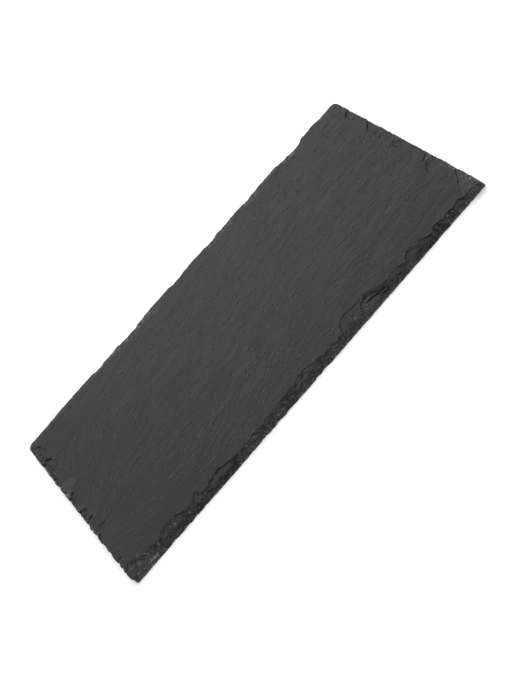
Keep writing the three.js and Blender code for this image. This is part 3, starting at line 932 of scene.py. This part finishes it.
def colours(value, stops):
    colour = made("Color", "ShaderNodeValToRGB", {"Fac": value})
    elements = colour.node.color_ramp.elements
    while len(elements) < len(stops):
        elements.new(0.5)
    for element, (position, name) in zip(elements, stops):
        element.position = position
        element.color = (*slateFinish[name], 1)
    return colour


# from 0 to 1 between two values
def rise(value, low, high):
    inputs = {"Value": value, "From Min": low, "From Max": high}
    return made("Result", "ShaderNodeMapRange", inputs, interpolation_type="SMOOTHSTEP")


# only the peaks and troughs of a pattern, from -1 to 1
def sparse(value, gap, reach):
    return less(rise(value, 0.5 + gap, 0.5 + reach), rise(value, 0.5 - gap, 0.5 - reach))


# a colour with a named one, or another, mixed in
def mixed(factor, first, second):
    if isinstance(second, str):
        second = (*slateFinish[second], 1)
    return made("Result", "ShaderNodeMix", {"Factor": factor, "A": first, "B": second}, data_type="RGBA")


# the slab's own coordinates, bent a little so that the grain wanders
def wavyPlace():
    inputs = {"Vector": place, "Scale": 1 / (slateFinish["bendLength"] * mm), "Detail": 1}
    wander = vectors("SUBTRACT", made("Color", "ShaderNodeTexNoise", inputs), (0.5, 0.5, 0.5))
    return vectors("ADD", place, vectors("SCALE", wander, slateFinish["bend"] * mm, "Scale"))


place = made("Object", "ShaderNodeTexCoord", {})
lengthwise = made("X", "ShaderNodeSeparateXYZ", {"Vector": place})
wavy = wavyPlace()
mark = {name: made("Fac", "ShaderNodeAttribute", {}, attribute_name=name) for name in surfaceMarks}


# coordinates for a pattern that is drawn out one way, and may be slipped across it or pressed flat
def stretched(name, tilt, again=0, slip=0, flat=1):
    long, wide, _, seed = patterns[name]
    turn = radians(tilt)
    aside = Vector((-sin(turn), cos(turn), 0)) * slip * mm
    inputs = {
        "Vector": wavy,
        "Location": Vector((0.1, 0.17, 0.23)) * (seed + again) + aside,
        "Rotation": (0, 0, turn),
        "Scale": (long * mm, wide * mm, wide * flat * mm),
    }
    return made("Vector", "ShaderNodeMapping", inputs, vector_type="TEXTURE")


def clouded(name, tilt=slab["grainTilt"], again=0, slip=0, flat=1):
    coordinates = stretched(name, tilt, again, slip, flat)
    inputs = {"Vector": coordinates, "Scale": 1, "Detail": patterns[name][2]}
    return made("Fac", "ShaderNodeTexNoise", inputs)


# a pattern that runs with the grain, also where the grain fans out
def grained(name, slip=0):
    value = clouded(name, slip=slip)
    for fan in fans:
        turned = clouded(name, slateFinish[fan + "Tilt"], 1, slip)
        value = added(value, times(mark[fan], less(turned, value)))
    return value


# little ridges and furrows along the grain, each with a painted highlight on one flank and painted shade on
# the other
def ridgesWithPaintedLight(name):
    here = sparse(grained(name), 0.18, 0.33)
    beside = sparse(grained(name, slateFinish["slip"]), 0.18, 0.33)
    return less(here, beside)


ledges = grained("ledges")
clouding = less(clouded("clouds"), 0.5)
grain = clouded("grain")
lumps = clouded("lumps", flat=0.4)
crumb = made("Color", "ShaderNodeTexVoronoi", {"Vector": stretched("crumbs", 0, flat=0.6), "Scale": 1})


# the strokes are calm where the grain fans out, and livelier towards the right end
def liveliness():
    calm = added(times(mark["fanNear"], faceLook["fanNear"]), times(mark["fanFar"], faceLook["fanFar"]))
    rightward = rise(lengthwise, faceLook["livelyFrom"] * mm, faceLook["livelyTo"] * mm)
    return added(less(1, calm), times(rightward, faceLook["lively"]))


def faceStrokes():
    patches = times(rise(clouded("patches"), 0.4, 0.6), faceLook["inPatches"])
    tufts = times(rise(clouded("tufts"), 0.46, 0.62), faceLook["inTufts"])
    # dashes and threads carry painted highlight and shade on their ridges' flanks, into the colour as well as
    # the relief
    dashes = times(ridgesWithPaintedLight("dashes"), faceLook["dashes"])
    threads = times(ridgesWithPaintedLight("threads"), faceLook["threads"])
    specks = times(sparse(clouded("specks"), 0.18, 0.3), faceLook["specks"])
    strength = added(faceLook["everywhere"], patches, tufts)
    return times(times(added(dashes, threads, specks), strength), lively)


lively = liveliness()
strokes = faceStrokes()


def faceColour():
    clouds = times(clouding, faceLook["clouds"])
    ledging = times(times(less(ledges, 0.5), faceLook["ledges"]), lively)
    floors = times(mark["pale"], faceLook["floors"])
    leftward = rise(lengthwise, faceLook["leftEndFrom"] * mm, faceLook["leftEndTo"] * mm)
    # the strokes put their painted highlight and shade into the face's tone
    tone = added(strokes, clouds, ledging, floors, 0.5, times(leftward, faceLook["leftEnd"]))
    return colours(tone, [(0.2, "faceDark"), (0.5, "face"), (0.8, "facePale")])


def brokenColour():
    tone = added(lumps, times(mark["pale"], brokenLook["floors"]))
    return colours(tone, [(0.25, "brokenDark"), (0.45, "broken"), (0.55, "broken"), (0.75, "brokenPale"),
                          (1, "brokenPalest")])


# painted shade in the gaps between crumbs, pale crumbs, and the dust of knocks
def crumbled(colour):
    gapShade = times(rise(crumb, 0.4, 0.3), times(mark["crumbly"], brokenLook["gapShade"]))
    pale = rise(added(crumb, times(mark["bruise"], 0.2)), 0.68, 0.8)
    pale = times(pale, maths("MINIMUM", added(mark["bruise"], times(mark["crumbly"], 0.35)), 1))
    dusty = times(mark["bruise"], rise(lumps, 0.3, 0.7))
    chalky = times(rise(mark["bruise"], 0.75, 1), brokenLook["chalk"])
    knocked = added(times(pale, brokenLook["crumbs"]), times(dusty, brokenLook["dust"]), chalky)
    return mixed(knocked, mixed(gapShade, colour, "brokenDark"), "bruise")


# painted shade along the foot of a flake and a painted highlight on the lip beside it, in half widths from
# the line's middle
def creaseShadeAndLipHighlight(colour):
    gap = mark["creaseShadeGap"]
    # a painted highlight on the lip beside the line, in the palest broken colour
    lipHighlight = times(rise(gap, -1.1, -1.7), rise(gap, -3.4, -2.6))
    colour = mixed(times(times(lipHighlight, mark["creaseShade"]), rise(lumps, 0.4, 0.7)), colour, "brokenPalest")
    # painted shade darkest along the middle of the line
    line = rise(maths("ABSOLUTE", gap), 1.3, 0.6)
    return mixed(times(mark["creaseShade"], line), colour, "creaseShade")


# relief of the face and of broken stone, each where it shows
def slateHeight():
    ledging = times(rise(ledges, 0.5, 0.52), faceLook["ledgeRelief"])
    face = added(times(strokes, faceLook["strokeRelief"]), ledging, times(grain, faceLook["grainRelief"]))
    coarse = times(added(lumps, times(crumb, brokenLook["crumbRelief"])), mark["crumbly"])
    fine = times(grain, brokenLook["grainRelief"])
    broken = added(coarse, times(lumps, brokenLook["lumpRelief"]), fine)
    return added(times(face, less(1, mark["fresh"])), times(broken, mark["fresh"]))


def finishSlate():
    relief = {"Distance": slateFinish["bump"] * mm, "Height": slateHeight()}
    rougher = times(mark["fresh"], slateFinish["brokenRoughness"])
    cloudy = times(clouding, slateFinish["cloudRoughness"])
    feed(tree.nodes["Principled BSDF"], {
        "Base Color": creaseShadeAndLipHighlight(crumbled(mixed(mark["fresh"], faceColour(), brokenColour()))),
        "Roughness": added(slateFinish["roughness"], rougher, cloudy),
        "Specular IOR Level": slateFinish["specular"],
        "Normal": made("Normal", "ShaderNodeBump", relief),
    })


finishSlate()
print("slate finished")


def addObject(name, data):
    thing = bpy.data.objects.new(name, data)
    bpy.context.scene.collection.objects.link(thing)
    return thing


def addPiece(name, bm, material):
    mesh = bpy.data.meshes.new(name)
    bm.to_mesh(mesh)
    bm.free()
    mesh.materials.append(material)
    return addObject(name, mesh)


bm = squaredBlock()
print("block cut up:", len(bm.verts), "points")
shapeSlab(bm)
bmesh.ops.triangulate(bm, faces=bm.faces, quad_method="SHORT_EDGE")
bmesh.ops.scale(bm, vec=(mm, mm, mm), verts=bm.verts)
print("slab shaped:", len(bm.faces), "triangles")
rivenSlab = addPiece("rivenSlab", bm, slate)
rivenSlab.data.shade_smooth()
rivenSlab.data.set_sharp_from_angle(angle=radians(slab["sharpAngle"]))
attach(rivenSlab, "root")
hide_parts("slate_slab")

# camera angles in degrees, camera lens and sensor in millimetres, and the rest in metres
studio = {
    "azimuth": -2.742,
    "elevation": 55.429,
    "roll": -46.493,
    "distance": 0.4546,
    "target": (-0.00304, -0.01651, 0),
    "lens": 39.902,
    "sensor": 36,
    "floor": 8,
    "floorDrop": 0.02 * mm,  # keeps the floor and the underside from lying in one plane
    "floorColour": (0.92, 0.92, 0.92, 1),
    "floorRoughness": 0.9,
    "floorSpecular": 0.1,
    "backLight": (0.2, 0.9, 0.8),
    "backLightSize": (1.2, 0.8),
    "backLightPower": 13,
    "skyColour": (1, 1, 1, 1),
    "skyStrength": 0.88,
}


def placeCamera():
    azimuth, elevation, roll = (radians(studio[name]) for name in ("azimuth", "elevation", "roll"))
    back = Vector((sin(azimuth) * cos(elevation), -cos(azimuth) * cos(elevation), sin(elevation)))
    right = (-back).cross(Vector((0, 0, 1))).normalized()
    up = back.cross(right)
    rolledRight = right * cos(roll) + up * sin(roll)
    rolledUp = up * cos(roll) - right * sin(roll)
    data = bpy.data.cameras.new("camera")
    data.lens = studio["lens"]
    data.sensor_width = studio["sensor"]
    camera = addObject("camera", data)
    turn = Matrix((rolledRight, rolledUp, back)).transposed().to_4x4()
    camera.matrix_world = Matrix.Translation(Vector(studio["target"]) + back * studio["distance"]) @ turn
    bpy.context.scene.camera = camera


# one large soft light from behind, turned to the slab
def placeLight():
    data = bpy.data.lights.new("backLight", "AREA")
    data.shape = "RECTANGLE"
    data.size, data.size_y = studio["backLightSize"]
    data.energy = studio["backLightPower"]
    light = addObject("backLight", data)
    light.location = studio["backLight"]
    light.rotation_euler = (-light.location).to_track_quat("-Z", "Y").to_euler()


def placeFloor():
    material = bpy.data.materials.new("paleFloor")
    material.use_nodes = True
    feed(material.node_tree.nodes["Principled BSDF"], {
        "Base Color": studio["floorColour"],
        "Roughness": studio["floorRoughness"],
        "Specular IOR Level": studio["floorSpecular"],
    })
    bm = bmesh.new()
    bmesh.ops.create_grid(bm, x_segments=1, y_segments=1, size=studio["floor"] / 2)
    bmesh.ops.translate(bm, vec=(0, 0, -studio["floorDrop"]), verts=bm.verts)
    floor = addPiece("floor", bm, material)


def lightSky():
    world = bpy.data.worlds.new("studio")
    world.use_nodes = True
    sky = {"Color": studio["skyColour"], "Strength": studio["skyStrength"]}
    feed(world.node_tree.nodes["Background"], sky)
    bpy.context.scene.world = world


placeCamera()
placeFloor()
placeLight()
lightSky()
bpy.context.scene.view_settings.view_transform = "Standard"

print("studio set")
